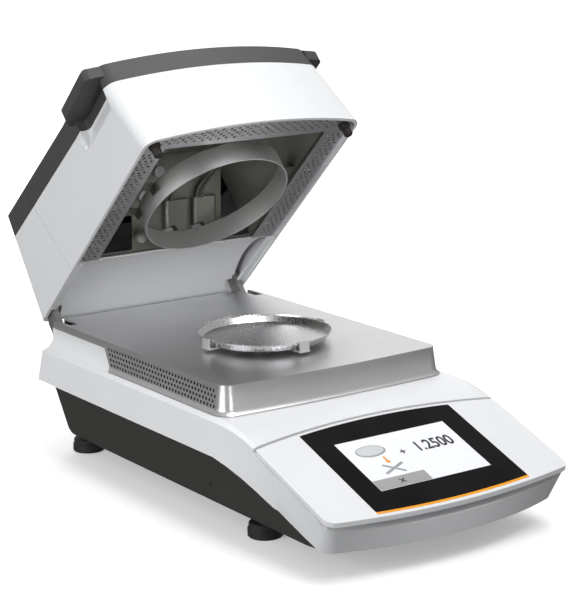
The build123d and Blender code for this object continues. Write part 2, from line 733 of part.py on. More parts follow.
def hinge_bracket(side):
    """Upright bracket in the housing that carries the hinge shaft."""
    outer = ARM_INNER - ARM_GAP
    floor = TRAY_Z + WALL + SEAT_GAP
    foot_y = FOOT_REAR_Y - BUSH_R - WALL - 1
    above = STUD_TOP + FOOT_TRAVEL + 1
    upright = side_prism([
        (foot_y - BRACKET_FOOT, floor), (foot_y, floor), (foot_y, above), (HINGE_Y + SHAFT_R - 1, above + 9),
        (HINGE_Y + SHAFT_R - 1, BAND_Z + TRAY_LIP + 1), (HINGE_Y + BOSS_R, HINGE_Z - 5),
        (HINGE_Y + BOSS_R, HINGE_Z + SHAFT_R), (HINGE_Y, HINGE_Z + BOSS_R), (HINGE_Y - BOSS_R, HINGE_Z + SHAFT_R),
        (foot_y - BRACKET_FOOT, above),
    ], outer - BRACKET_THICK, outer)
    foot = block(outer - 14, outer, foot_y - BRACKET_FOOT, foot_y, floor, floor + 3)
    body = upright + foot - cross_rod(0, BACK, HINGE_Y, HINGE_Z, SHAFT_R + RUN)
    return body if side > 0 else mirror(body, Plane.YZ)


def hinge_shaft():
    """Steel shaft through both brackets and arms."""
    half = ARM_INNER + ARM_THICK + 1.0
    return cross_rod(-half, half, HINGE_Y, HINGE_Z, SHAFT_R)


def lid_front(up):
    """Depth of the lid's front corners at a height over the rim plane."""
    return LID_FRONT + LID_FRONT_LEAN * up / LID_REAR_UP


def lid_rear(up):
    """Depth of the lid's rear wall at a height over the rim plane."""
    return LID_FRONT + LID_LENGTH - LID_REAR_LEAN * up / LID_REAR_UP


def lid_loft(inset, low, high):
    """The lid's walls between two heights, without its top."""
    layers = []
    for up in (low, high):
        outline = plan(LID_HALF - inset, LID_HALF - inset, lid_front(up) + inset, LID_BULGE,
                       lid_rear(up) - inset, 0, LID_CORNER - inset, LID_REAR_CORNER - inset)
        layers.append(Pos(0, 0, LID_BOTTOM + up) * outline)
    return loft(layers, ruled=True)


def below(points):
    """Everything under a side line given as (back, up) points."""
    line = [(LID_FRONT + back, LID_BOTTOM + up) for back, up in points]
    line = [(FRONT, line[0][1]), *line, (BACK, line[-1][1]), (BACK, -BACK), (FRONT, -BACK)]
    return side_prism(line, -BACK, BACK)


def cover_line(shift):
    """Lower edge of the dark cover."""
    return [(LID_KNEE - 12, COVER_FRONT_UP + shift), (LID_LENGTH - 5, COVER_REAR_UP + shift)]


def lid_form(inset, low):
    """The lid's outer body or its inside, with the finger scoops left out."""
    top = [(LID_KNEE, LID_FRONT_UP - inset), (LID_LENGTH - LID_REAR_LEAN, LID_REAR_UP - inset)]
    body = lid_loft(inset, low, LID_REAR_UP + 10) & below(top)
    return body - both_sides(scoop(inset))


def scoop(wall):
    """Finger scoop in the right side, grown by a wall."""
    outer = LID_HALF + 5
    deep = LID_HALF - SCOOP_DEPTH - wall
    low = LID_BOTTOM + SCOOP_LOW - wall
    high = LID_BOTTOM + WING_LOW + (wall if wall else 0)
    y_low = LID_FRONT + SCOOP_FRONT - wall
    y_high = LID_FRONT + SCOOP_BACK + wall
    hollow = front_prism([
        (outer, low - 5 * SCOOP_SLANT), (LID_HALF, low), (deep, low + SCOOP_RISE), (deep, high), (outer, high),
    ], y_low, y_high)
    ends = hollow.edges().filter_by(Axis.Z).group_by(Axis.X)[0]
    return fillet(ends, SCOOP_DEPTH * 0.6)


def wing():
    """Handle wing on the right, part of the cover."""
    top = LID_BOTTOM + LID_FRONT_UP
    root = LID_HALF - 4
    outline = Polygon(
        (root, LID_FRONT + WING_FRONT - 1.0), (WING_HALF, LID_FRONT + WING_FRONT + 1.5),
        (WING_HALF, LID_FRONT + WING_BACK - 9), (LID_HALF + 4, LID_FRONT + WING_BACK),
        (root, LID_FRONT + WING_BACK), align=None)
    corners = outline.vertices().sort_by(Axis.X)[-2:]
    body = Pos(0, 0, LID_BOTTOM + WING_LOW) * extrude(fillet(corners, 5.0), top - LID_BOTTOM - WING_LOW)
    outer = body.faces().sort_by(Axis.Z)[-1].edges().group_by(Axis.X)[-1]
    return chamfer(outer, 2.2)


def split_part(gap, behind):
    """Everything in front of or behind the lid's parting line."""
    slope = (SPLIT_HIGH - SPLIT_LOW) / LID_REAR_UP
    line = [(LID_FRONT + SPLIT_LOW + gap + slope * up, LID_BOTTOM + up) for up in (-BACK, BACK)]
    end = BACK * 3 if behind else -BACK * 3
    return side_prism([*line, (end, line[1][1]), (end, line[0][1])], -BACK, BACK)


def lid_flange():
    """Flat flange on the right of the lid's rim, beside the inner rear panel."""
    flange = block(FLANGE_HALF, LID_HALF - LID_WALL + 0.5, LID_FRONT + CAVITY_BACK + SEAM,
                   lid_rear(0) - LID_WALL + 1, LID_BOTTOM + FLANGE_UP, LID_BOTTOM + FLANGE_UP + FLANGE_SHEET)
    return flange - arm_slots(ARM_FRONT - ARM_GAP, 0)


def side_pad():
    """Raised pad on the right of the lid, behind the finger scoop."""
    outline = Pos(LID_FRONT + PAD_BACK, LID_BOTTOM + PAD_UP) * Rot(0, 0, PAD_TURN) * SlotOverall(PAD_LENGTH, PAD_WIDTH)
    pad = Pos(LID_HALF - 1, 0, 0) * extrude(Plane.YZ * outline, 1 + PAD_RISE, dir=(1, 0, 0))
    return chamfer(pad.faces().sort_by(Axis.X)[-1].edges(), PAD_RISE * 0.7)


def lid_walls():
    """The white walls of the lid in one piece."""
    shell = lid_form(0, 0) - lid_form(LID_WALL, -2) + both_sides(lid_flange()) + both_sides(side_pad())
    return shell & below(cover_line(-SEAM / 2))


def lid_front_shell():
    """White front shell with both sides."""
    return lid_walls() & split_part(-SEAM / 2, False)


def lid_rear_shell():
    """White rear shell, slotted for the hinge arms."""
    return lid_walls() & split_part(SEAM / 2, True)


def lid_covers():
    """The dark cover in one piece, with the handle wings."""
    shell = (lid_form(0, 0) + both_sides(wing())) - lid_form(LID_WALL, -2)
    return shell - below(cover_line(SEAM / 2))


def lid_top_cover():
    """Dark top cover with the handle wings."""
    return lid_covers() & split_part(-SEAM / 2, False)


def lid_rear_cover():
    """Dark cover behind the parting line."""
    return lid_covers() & split_part(SEAM / 2, True)


def frame_vents():
    """Staggered rows of slots along the front and both sides of the air frame."""
    low, high = LID_BOTTOM + FRAME_UP - 1, LID_BOTTOM + FRAME_UP + FRAME_SHEET + 1
    made = []
    for row in range(VENT_ROWS):
        out = LID_HALF - VENT_INSET - row * VENT_ROW_PITCH
        stagger = VENT_PITCH / 2 * (row % 2)
        along = CAVITY_FRONT
        while along + stagger < CAVITY_BACK - VENT_LONG:
            y = LID_FRONT + along + stagger
            hole = block(out - VENT_WIDE / 2, out + VENT_WIDE / 2, y - VENT_LONG / 2, y + VENT_LONG / 2, low, high)
            made += [hole, mirror(hole, Plane.YZ)]
            along += VENT_PITCH
    return made


def perforated_frame():
    """Air frame round the front and both sides of the heated opening."""
    inset = LID_WALL + SEAT_GAP
    body = lid_loft(inset, FRAME_UP, FRAME_UP + FRAME_SHEET)
    y_low = LID_FRONT + CAVITY_FRONT
    y_high = LID_FRONT + CAVITY_BACK
    body -= block(-CAVITY_HALF, CAVITY_HALF, y_low, BACK, 0, BACK)
    return body - block(-BACK, BACK, y_high, BACK, 0, BACK) - frame_vents()


def inner_rear_panel():
    """Concave white panel between the heated opening and the hinge."""
    start = (LID_FRONT + CAVITY_BACK + SEAM, LID_BOTTOM + FRAME_UP)
    middle = (LID_FRONT + (CAVITY_BACK + LID_LENGTH) / 2, LID_BOTTOM + REAR_PANEL_RISE)
    end = (lid_rear(0) - LID_WALL - SEAM, LID_BOTTOM + 1.0)
    low = ThreePointArc(start, middle, end)
    high = ThreePointArc(*[(y, z + REAR_PANEL_SHEET) for y, z in (start, middle, end)])
    face = make_face([low, high, Line(low @ 0, high @ 0), Line(low @ 1, high @ 1)])
    half = FLANGE_HALF - SEAM
    body = Pos(-half, 0, 0) * extrude(Plane.YZ * face, 2 * half, dir=(1, 0, 0))
    notch = block(NOTCH_HALF, LID_HALF, LID_FRONT + NOTCH_BACK, BACK, 0, BACK)
    trimmed = (body & lid_loft(LID_WALL + SEAM, 0, REAR_PANEL_RISE * 2)) - both_sides(notch)
    return trimmed - arm_slots(ARM_FRONT - ARM_GAP, 0)


def hood_low():
    """Height of the hood's lower edge."""
    return LID_BOTTOM + FRAME_UP + FRAME_SHEET + SEAT_GAP


def hood_front(inset):
    """The hood between its side walls."""
    front = Polygon(
        (-CAVITY_HALF, hood_low()), (CAVITY_HALF, hood_low()), (HOOD_TOP_HALF, LID_BOTTOM + HOOD_UP),
        (-HOOD_TOP_HALF, LID_BOTTOM + HOOD_UP), align=None)
    if inset:
        front = offset(front, -inset, kind=Kind.INTERSECTION)
    return extrude(Plane.XZ * front, BACK, dir=(0, 1, 0), both=True)


def hood_form(inset):
    """The heater hood's outer body, or its inside."""
    side = Polygon(
        (LID_FRONT + CAVITY_FRONT, hood_low()), (LID_FRONT + CAVITY_BACK, hood_low()),
        (LID_FRONT + HOOD_TOP_BACK, LID_BOTTOM + HOOD_UP), (LID_FRONT + HOOD_TOP_FRONT, LID_BOTTOM + HOOD_UP),
        align=None)
    if inset:
        side = offset(side, -inset, kind=Kind.INTERSECTION)
    return extrude(Plane.YZ * side, BACK, dir=(1, 0, 0), both=True) & hood_front(inset)


def on_rear_wall(shape):
    """A shape drawn flat, moved onto the hood's slanted rear wall, its Z into the hood."""
    back, rise = CAVITY_BACK - HOOD_TOP_BACK, LID_BOTTOM + HOOD_UP - hood_low()
    length = (back**2 + rise**2) ** 0.5
    into = (-rise / length, -back / length)
    edge = (0, LID_FRONT + CAVITY_BACK + into[0] * HOOD_SHEET, hood_low() + into[1] * HOOD_SHEET)
    return Plane(origin=edge, x_dir=(1, 0, 0), z_dir=(0, *into)) * shape


def heater_hood():
    """Folded steel hood over the sample, open at the rear wall's two lower corners."""
    inside = hood_form(HOOD_SHEET)
    floor = inside.faces().sort_by(Axis.Z)[0]
    corner = block(REAR_HALF, CAVITY_HALF, HOOD_STRIP, CAVITY_BACK, -3 * HOOD_SHEET, HOOD_SHEET)
    corners = on_rear_wall(both_sides(corner)) & hood_front(HOOD_SHEET)
    return hood_form(0) - inside - extrude(floor, 2 * HOOD_SHEET, dir=(0, 0, -1)) - corners


def heater_module():
    """Two lamp pockets on the hood's rear wall, open at their upper ends."""
    made = []
    for x in POCKET_X:
        half = POCKET_W / 2
        body = block(x - half, x + half, POCKET_LOW, POCKET_HIGH, SEAT_GAP, POCKET_H)
        body = fillet(body.edges().filter_by(Axis.Y).group_by(Axis.Z)[-1], 2.6)
        inner = half - POCKET_WALL
        body -= block(x - inner, x + inner, POCKET_HIGH - POCKET_DEEP, POCKET_HIGH + 1,
                      SEAT_GAP + POCKET_WALL / 2, POCKET_H - POCKET_WALL)
        made.append(on_rear_wall(body - rod(x + NOTCH_X, POCKET_LOW, -1, POCKET_H + 1, NOTCH_R)))
    return made


def hood_screws():
    """Two screw heads, a round post and a hexagonal standoff on the hood's rear wall."""
    heads = [rod(x + NOTCH_X, POCKET_LOW, SEAT_GAP, HEAD_H, HEAD_R) for x in POCKET_X]
    heads = [chamfer(head.edges().group_by(Axis.Z)[-1], 0.8) for head in heads]
    post = rod(POST_X, POST_UP, SEAT_GAP, POCKET_H, HEAD_R * 0.7) + rod(POST_X, POST_UP, POCKET_H, POCKET_H + 2, HEAD_R)
    standoff = Pos(HEX_X, HEX_UP, SEAT_GAP) * extrude(RegularPolygon(HEX_R, 6), POCKET_H)
    return [on_rear_wall(shape) for shape in (*heads, post, standoff)]


def temperature_sensor():
    """Domed sensor on the hood's rear wall."""
    body = rod(SENSOR_X, SENSOR_UP, SEAT_GAP, SENSOR_R, SENSOR_R)
    return on_rear_wall(body + Pos(SENSOR_X, SENSOR_UP, SENSOR_R) * Sphere(SENSOR_R))


def lead(x, width):
    """A flat sleeved lead out of a pocket, drawn along the rear wall."""
    start = POCKET_HIGH - POCKET_DEEP / 2
    route = Spline((x, start, LEAD_OUT), (x + 0.5, POCKET_HIGH + 2, LEAD_OUT),
                   (x + LEAD_REACH / 3, POCKET_HIGH + 13, LEAD_OUT + 3),
                   (x + LEAD_REACH, POCKET_HIGH + 24, LEAD_OUT + 4))
    section = Plane(origin=route @ 0, x_dir=(1, 0, 0), z_dir=route % 0) * Rectangle(width, LEAD_THICK)
    return on_rear_wall(sweep(section, path=route))


def heater_leads():
    """Sleeved leads: one out of the left pocket and a bundle out of the right one."""
    return [lead(POCKET_X[0] + LEAD_X, LEAD_THICK), lead(POCKET_X[1] + LEAD_X, LEAD_BUNDLE)]


def shield_ring():
    """Sheet ring round the pan when the lid is closed."""
    low = LID_BOTTOM + RING_LOW
    return rod(0, 0, low, low + RING_HEIGHT, RING_R) - rod(0, 0, 0, BACK, RING_R - RING_SHEET)


def ring_brackets():
    """Four sheet brackets that hang the ring in the hood."""
    low = LID_BOTTOM + FRAME_UP + FRAME_SHEET + BRACKET_UP
    inner = RING_R + SEAT_GAP
    lean = (CAVITY_HALF - HOOD_TOP_HALF) / (LID_BOTTOM + HOOD_UP - hood_low())
    outer = CAVITY_HALF - lean * (low + RING_SHEET - hood_low()) - HOOD_SHEET * (1 + lean**2) ** 0.5 - SEAT_GAP
    made = []
    for side in (-1, 1):
        for y in (-BRACKET_Y, BRACKET_Y):
            reach = (inner**2 - (BRACKET_Y - BRACKET_W / 2) ** 2) ** 0.5
            strip = block(reach, outer, y - BRACKET_W / 2, y + BRACKET_W / 2, low, low + RING_SHEET)
            tab = block(reach, reach + RING_SHEET, y - BRACKET_W / 2, y + BRACKET_W / 2,
                        low - BRACKET_TAB, low + RING_SHEET)
            shape = strip + tab
            made.append(shape if side > 0 else mirror(shape, Plane.YZ))
    return made


def bumper(side):
    """Rubber peg at a front corner of the lid, narrower below its collar."""
    top = LID_BOTTOM + FRAME_UP - SEAT_GAP
    low = LID_BOTTOM - BUMPER_DROP
    tip = BUMPER_R * 0.78
    outline = Polyline((0, top), (BUMPER_R, top), (BUMPER_R, top - BUMPER_COLLAR), (tip, top - BUMPER_COLLAR - 1),
                       (tip, low + 1), (tip - 1, low), (0, low), close=True)
    return Pos(side * BUMPER_X, LID_FRONT + BUMPER_BACK, 0) * revolve(Plane.XZ * make_face(outline), Axis.Z)


def hinge_arm(side):
    """Steel arm from the hinge shaft up into the lid."""
    wall = LID_WALL + SEAT_GAP
    upper = [(lid_rear(up) - wall, LID_BOTTOM + up) for up in (ARM_UP, -SEAT_GAP)]
    plate = side_prism([
        (ARM_FRONT, HINGE_Z), (ARM_FRONT, LID_BOTTOM + ARM_UP), *upper,
        (ARM_REAR, LID_BOTTOM - LID_WALL), (ARM_REAR, HINGE_Z),
    ], ARM_INNER, ARM_INNER + ARM_THICK)
    arm = plate + cross_rod(ARM_INNER, ARM_INNER + ARM_THICK, HINGE_Y, HINGE_Z, BOSS_R)
    arm -= cross_rod(0, BACK, HINGE_Y, HINGE_Z, SHAFT_R + RUN)
    return arm if side > 0 else mirror(arm, Plane.YZ)


BASE_PARTS = {
    "base_tray": base_tray,
    "upper_housing": upper_housing,
    "chamber_plate": chamber_plate,
    "control_panel": control_panel,
    "display_glass": display_glass,
    "accent_stripe": accent_stripe,
    "lcd_screen": lcd_screen,
    "display_board": display_board,
    "main_board": main_board,
    "power_supply": power_supply,
    "power_inlet": power_inlet,
    "usb_socket": usb_socket,
    "weighing_cell": weighing_cell,
    "cell_bracket": cell_bracket,
    "pan_post": pan_post,
    "foot_bushes": foot_bushes,
    "hinge_shaft": hinge_shaft,
    "hinge_bracket_left": lambda: hinge_bracket(-1),
    "hinge_bracket_right": lambda: hinge_bracket(1),
}
PAN_PARTS = {
    "pan_support": pan_support,
    "sample_pan": sample_pan,
}
LID_PARTS = {
    "lid_front_shell": lid_front_shell,
    "lid_rear_shell": lid_rear_shell,
    "lid_top_cover": lid_top_cover,
    "lid_rear_cover": lid_rear_cover,
    "perforated_frame": perforated_frame,
    "inner_rear_panel": inner_rear_panel,
    "heater_hood": heater_hood,
    "heater_module": heater_module,
    "hood_screws": hood_screws,
    "temperature_sensor": temperature_sensor,
    "heater_leads": heater_leads,
    "shield_ring": shield_ring,
    "ring_brackets": ring_brackets,
    "bumper_left": lambda: bumper(-1),
    "bumper_right": lambda: bumper(1),
    "hinge_arm_left": lambda: hinge_arm(-1),
    "hinge_arm_right": lambda: hinge_arm(1),
}


def joined(shape):
    """Several loose solids as one compound; a single shape stays as it is."""
    return Compound(shape) if isinstance(shape, list) else shape


def opened(shape):
    """A lid piece swung open about the hinge."""
    return Pos(0, HINGE_Y, HINGE_Z) * Rot(-LID_TILT, 0, 0) * Pos(0, -HINGE_Y, -HINGE_Z) * shape


def pieces():
    """Every sub-part at rest, by name, with the floor at Z = 0 and the pan's axis at Y = 0."""
    made = {name: make() for name, make in {**BASE_PARTS, **PAN_PARTS}.items()}
    for name, (x, y) in foot_places().items():
        made["foot_stud_" + name] = foot_stud(x, y)
        made["foot_disc_" + name] = foot_disc(x, y)
    made = {name: joined(shape) for name, shape in made.items()}
    made.update({name: opened(joined(make())) for name, make in LID_PARTS.items()})
    return made


def middle_y(made):
    """Depth of the middle of the whole object's box."""
    boxes = [shape.bounding_box() for shape in made.values()]
    return (min(box.min.Y for box in boxes) + max(box.max.Y for box in boxes)) / 2


if __name__ == "__main__":
    os.makedirs("parts", exist_ok=True)
    made = pieces()
    shift = middle_y(made)
    print("pan axis at Y =", round(-shift, 3))
    for name, shape in made.items():
        export_step(Pos(0, -shift, 0) * shape, "parts/" + name + ".step")
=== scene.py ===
"""A moisture analyzer with its lid open, on a white studio floor."""

import json
from math import atan, cos, pi, radians, sin

import bmesh
import bpy
from mathutils import Matrix, Vector


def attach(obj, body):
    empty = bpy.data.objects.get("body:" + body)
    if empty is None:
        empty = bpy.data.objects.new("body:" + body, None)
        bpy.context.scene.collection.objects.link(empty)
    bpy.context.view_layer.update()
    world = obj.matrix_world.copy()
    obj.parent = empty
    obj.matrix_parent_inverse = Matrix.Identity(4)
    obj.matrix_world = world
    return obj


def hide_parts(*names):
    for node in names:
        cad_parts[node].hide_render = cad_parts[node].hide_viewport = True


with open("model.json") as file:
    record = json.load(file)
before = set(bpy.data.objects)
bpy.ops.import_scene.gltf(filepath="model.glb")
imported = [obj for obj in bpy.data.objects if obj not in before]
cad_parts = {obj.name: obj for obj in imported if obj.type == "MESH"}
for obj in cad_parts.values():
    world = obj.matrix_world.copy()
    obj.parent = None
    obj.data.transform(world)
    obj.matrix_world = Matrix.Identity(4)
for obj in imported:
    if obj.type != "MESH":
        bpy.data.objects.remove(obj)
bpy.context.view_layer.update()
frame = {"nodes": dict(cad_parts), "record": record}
nodes = frame["nodes"]

MM = 0.001
SHIFT_Y = -1.38                # from the drawing's pan axis to the frame's origin, mm
HINGE = (149.3, 73.0)          # hinge axis in the drawing, y and z, mm
LID_OPEN = radians(43.07)
LID_FRONT = -84.7              # front edge and rim of the closed lid
LID_RIM = 110.9
PANEL_SLOPE = 0.3554           # the tilted panel: rise for each mm of depth, and height at y = 0
PANEL_LEVEL = 122.4

PLATE_FOLD_Z = 99.0            # the perforated strip of the chamber plate, from its upper fold
PLATE_FOLD_X = 93.5
PLATE_LOW_Z = 85.0
PLATE_LOW_X = 95.4
PLATE_SHEET = 1.2
STRIP_FRONT = -81.0
STRIP_END = 75.2
STRIP_LEAN_Z = 97.5            # below this height the strip's rear end leans forward
STRIP_LEAN = 0.795             # by so much for each mm down
WINDOW_INNER = 91.0            # the walls are cut out from here to there for the strips
WINDOW_OUTER = 98.0
HOLE_R = 1.2
HOLE_PITCH = 4.17
HOLE_FIRST = -75.9
HOLE_MARGIN = 1.4              # from the last hole's middle to the strip's end, at least
HOLE_ROWS = (97.75, 94.2, 90.65, 87.1)

AIR_HALF = 91.2                # air frame round the lid's opening
AIR_FRONT = 3.65
AIR_BULGE = 11.9
AIR_CORNER = 9.2
AIR_UP = 3.6                   # its outer side, over the rim
AIR_SHEET = 1.0
CORNER_STEPS = 8               # segments of a corner, and of half the bowed edge
BOW_STEPS = 12
CAVITY_HALF = 70.6
CAVITY_FRONT = 16.0
CAVITY_BACK = 158.3
VENT_R = 1.3
SIDE_ROWS = 38                 # rows of holes from front to back along each side, of two kinds in turn
SIDE_FIRST = 22.1
SIDE_PITCH = 3.64
SIDE_HOLES = ((76.2, 81.1, 86.0), (78.6, 83.6, 88.5))
FRONT_COLUMNS = 22             # columns along the front to each side of the middle
FRONT_PITCH = 3.465
FRONT_HOLES = ((10.1, 4.9, -0.3), (7.3, 2.1, -3.1))
EDGE_CLEAR = 3.5               # from a hole's middle to the bowed edge, at least
BOW_FROM = -2.0                # holes in front of this depth are only near the middle
BOW_HALF = 14.0
PEG = (83.3, 8.2)              # a rubber peg's place, and how far holes stay from it
PEG_CLEAR = 7.0

SHADE_SHEET_THICK = 0.3              # dark sheet behind the air frame: painted shade seen through its holes
SHADE_SHEET_UP = 0.25
SHADE_SHEET_SIDE = 1.2               # how far its edges stay inside the frame's
SHADE_SHEET_FRONT = 1.0
SHADE_SHEET_INNER = 0.4

HOOD_LOW = 4.9                 # lower edge of the hood's slanted rear wall, over the rim
HOOD_SHEET = 0.8
SLANT_COS = 0.7057             # of the rear wall's slant
SLANT_SIN = 0.7084

LEAD_R = 1.3                   # leads on that wall: across it, up its slope, and off its sheet
BUNDLE_R = 1.25
LEAD_ROUTE = [(-7, 35, 3.2), (-7, 40, 3.2), (-5, 47, 3.4), (0, 54, 5), (7, 61, 6), (12, 66, 6.5)]
BUNDLE_ROUTE = [(18.7, 35, 2.8), (18.7, 40, 3.0), (20, 47, 4.0), (25, 54, 6.0), (31, 60, 7.0), (36, 64, 7.4)]
BUNDLE = [(-2.7, 0), (0, 0), (2.7, 0), (0.6, 2.4)]
BUNDLE_SPREAD = [1.0, 1.0, 0.9, 0.7, 0.6, 0.6]     # how much of these two offsets is left at each point
BUNDLE_LIFT = [0.6, 1.0, 1.0, 1.0, 1.0, 1.0]

SCREEN_MIDDLE = -177.6
PRINT_LIFT = -0.05             # underside of what the screen shows, over the panel's surface
PRINT_SHEET = 0.03             # its thickness, and more where one shape lies on another
PRINT_OVER = 0.05
NUMBER_LIFT = -0.03
NUMBER_HALF = 0.02             # half thickness of the numerals
NUMBER_BOLD = 0.022            # thickening and width of the numerals, as shares
NUMBER_WIDTH = 0.86
NUMBER_SIZE = 14.0
NUMBER_END = (39.5, 2.5)       # lower right end of the number, from the screen's middle
BAR_WIDTH = 1.1
PLUS = (-4.4, 5.6)
PLUS_LENGTH = 4.6
DISH = (-26.5, 12.5)           # middle and half sizes
DISH_HALF = (12.0, 6.0)
DISH_INSIDE = (-26.5, 13.0)
DISH_INSIDE_HALF = (10.8, 4.9)
DISH_SIDES = 36
ARROW_X = -21.6
ARROW_SHAFT_Y = 2.2
ARROW_SHAFT = (5.6, 1.6)
ARROW_NECK = 0.2
ARROW_TIP = -3.0
ARROW_HALF = 2.2
CROSS = (-22, -8.0)
CROSS_WIDTH = 2.0
CROSS_BARS = (("long", 20, radians(22), PRINT_SHEET), ("short", 16, radians(-38), PRINT_OVER))
FIELD_LOW = (-46.4, -26.0)     # corners of the grey field
FIELD_HIGH = (-3.5, -15.8)
FIELD_CROSS = (-25, -21.0)
FIELD_CROSS_BARS = (("a", 5.4, pi / 4, 0.06), ("b", 5.4, -pi / 4, 0.07))

NOISE_LOW = 0.3                # range of a noise texture that a number follows
NOISE_HIGH = 0.7
TINT_LOW = 0.35                # and that a colour follows
TINT_HIGH = 0.65

WORLD_BELOW = 0.16             # light of the surroundings, from below and from above
WORLD_ABOVE = 0.42
WORLD_EDGE = 0.25
FLOOR_NEAR = 0.35              # the floor's own light rises between these distances, m
FLOOR_FAR = 1.0
FLOOR_DIM = 0.32
FLOOR_BRIGHT = 0.8
FLOOR_SIZE = 40.0
BACKDROP_R = 15.0

CAMERA_PLACE = (-0.7651, -1.1486, 0.4459)
CAMERA_TURN = -34.41           # degrees, about Z
CAMERA_DIP = 12.72             # below level
CAMERA_ROLL = -0.887
CAMERA_LENS = 114.46
CAMERA_SHIFT = -0.00528


# Places

def at(x, y, z):
    """A point of the drawing, in the frame's metres."""
    return Vector((x * MM, (y + SHIFT_Y) * MM, z * MM))


def lid_at(x, back, up):
    """A point of the open lid, from its front edge and its rim."""
    y = LID_FRONT + back - HINGE[0]
    z = LID_RIM + up - HINGE[1]
    turned_y = y * cos(LID_OPEN) + z * sin(LID_OPEN)
    turned_z = -y * sin(LID_OPEN) + z * cos(LID_OPEN)
    return at(x, HINGE[0] + turned_y, HINGE[1] + turned_z)


def panel_at(x, y, over=0.0):
    """A point on the tilted panel, over millimetres above it."""
    lean = atan(PANEL_SLOPE)
    return at(x, y - over * sin(lean), PANEL_SLOPE * y + PANEL_LEVEL + over * cos(lean))


def wall_at(x, along, off):
    """A point on the hood's slanted rear wall: up the slope, and off the sheet."""
    back = CAVITY_BACK - SLANT_COS * (HOOD_SHEET + off) - SLANT_SIN * along
    up = HOOD_LOW - SLANT_SIN * (HOOD_SHEET + off) + SLANT_COS * along
    return lid_at(x, back, up)


# Materials

def new_material(name, color, roughness, metallic=0.0, **more):
    """A material with its main sockets set."""
    material = bpy.data.materials.new(name)
    material.use_nodes = True
    shader = material.node_tree.nodes["Principled BSDF"]
    shader.inputs["Base Color"].default_value = (*color, 1.0)
    shader.inputs["Roughness"].default_value = roughness
    shader.inputs["Metallic"].default_value = metallic
    for socket, value in more.items():
        shader.inputs[socket.replace("_", " ")].default_value = value
    return material


def feed(material, output, socket):
    """Links an output to a socket of the material's shader."""
    tree = material.node_tree
    tree.links.new(output, tree.nodes["Principled BSDF"].inputs[socket])


def map_range(tree, source, span, result):
    """An output that maps a value's span onto another."""
    remap = tree.nodes.new("ShaderNodeMapRange")
    remap.inputs["From Min"].default_value = span[0]
    remap.inputs["From Max"].default_value = span[1]
    remap.inputs["To Min"].default_value = result[0]
    remap.inputs["To Max"].default_value = result[1]
    tree.links.new(source, remap.inputs["Value"])
    return remap.outputs["Result"]


def add_noise(material, scale, stretch=(1, 1, 1), detail=4.0):
    """A noise texture laid along the object's own axes."""
    tree = material.node_tree
    coordinates = tree.nodes.new("ShaderNodeTexCoord")
    mapping = tree.nodes.new("ShaderNodeMapping")
    mapping.inputs["Scale"].default_value = stretch
    noise = tree.nodes.new("ShaderNodeTexNoise")
    noise.inputs["Scale"].default_value = scale
    noise.inputs["Detail"].default_value = detail
    tree.links.new(coordinates.outputs["Object"], mapping.inputs["Vector"])
    tree.links.new(mapping.outputs["Vector"], noise.inputs["Vector"])
    return noise.outputs["Fac"]


def add_bump(material, height, strength, distance):
    """Bump from a height."""
    tree = material.node_tree
    bump = tree.nodes.new("ShaderNodeBump")
    bump.inputs["Strength"].default_value = strength
    bump.inputs["Distance"].default_value = distance
    tree.links.new(height, bump.inputs["Height"])
    feed(material, bump.outputs["Normal"], "Normal")


def vary_roughness(material, noise, low, high):
    """A roughness that follows a noise texture between two values."""
    feed(material, map_range(material.node_tree, noise, (NOISE_LOW, NOISE_HIGH), (low, high)), "Roughness")


def tint(material, source, dark, light, low=TINT_LOW, high=TINT_HIGH):
    """A base colour that follows a texture between two colours."""
    tree = material.node_tree
    ramp = tree.nodes.new("ShaderNodeValToRGB")
    for element, position, color in zip(ramp.color_ramp.elements, (low, high), (dark, light)):
        element.position = position
        element.color = (*color, 1.0)
    tree.links.new(source, ramp.inputs["Fac"])
    feed(material, ramp.outputs["Color"], "Base Color")


def shaded(color, share):
    """A colour times a share."""
    return tuple(c * share for c in color)


def moulded(name, color, roughness, grain=2600.0, strength=0.12):
    """Moulded plastic with a fine spark-eroded grain."""
    spread = 0.03
    material = new_material(name, color, roughness, Specular_IOR_Level=0.4)
    fine = add_noise(material, grain, detail=2.0)
    add_bump(material, fine, strength, 0.04 * MM)
    broad = add_noise(material, 26.0, detail=3.0)
    vary_roughness(material, broad, roughness - spread, roughness + spread)
    tint(material, broad, shaded(color, 0.985), color)
    return material


def brushed(name, color, roughness, along, scale=900.0, strength=0.1, spread=0.08):
    """Brushed metal, its lines along one axis."""
    material = new_material(name, color, roughness, 1.0)
    stretch = [1.0, 1.0, 1.0]
    stretch[along] = 0.012
    lines = add_noise(material, scale, stretch, detail=5.0)
    add_bump(material, lines, strength, 0.02 * MM)
    vary_roughness(material, lines, roughness - spread, roughness + spread)
    broad = add_noise(material, 14.0, detail=3.0)
    tint(material, broad, shaded(color, 0.93), color)
    return material


def cast(name, color, roughness, metallic, scale=180.0, strength=0.15):
    """Plain metal or painted sheet with a slightly uneven surface."""
    spread = 0.06
    material = new_material(name, color, roughness, metallic)
    noise = add_noise(material, scale)
    add_bump(material, noise, strength, 0.08 * MM)
    vary_roughness(material, noise, roughness - spread, roughness + spread)
    tint(material, noise, shaded(color, 0.85), color)
    return material


def screen_material():
    """The lit display: a pale surface with a faint fine grain."""
    material = new_material("lit_screen", (0.86, 0.87, 0.9), 0.3, Emission_Color=(0.93, 0.95, 1.0, 1.0),
                            Emission_Strength=0.1)
    fine = add_noise(material, 3200.0, detail=1.0)
    tint(material, fine, (0.80, 0.81, 0.84), (0.84, 0.85, 0.88))
    vary_roughness(material, fine, 0.24, 0.32)
    return material


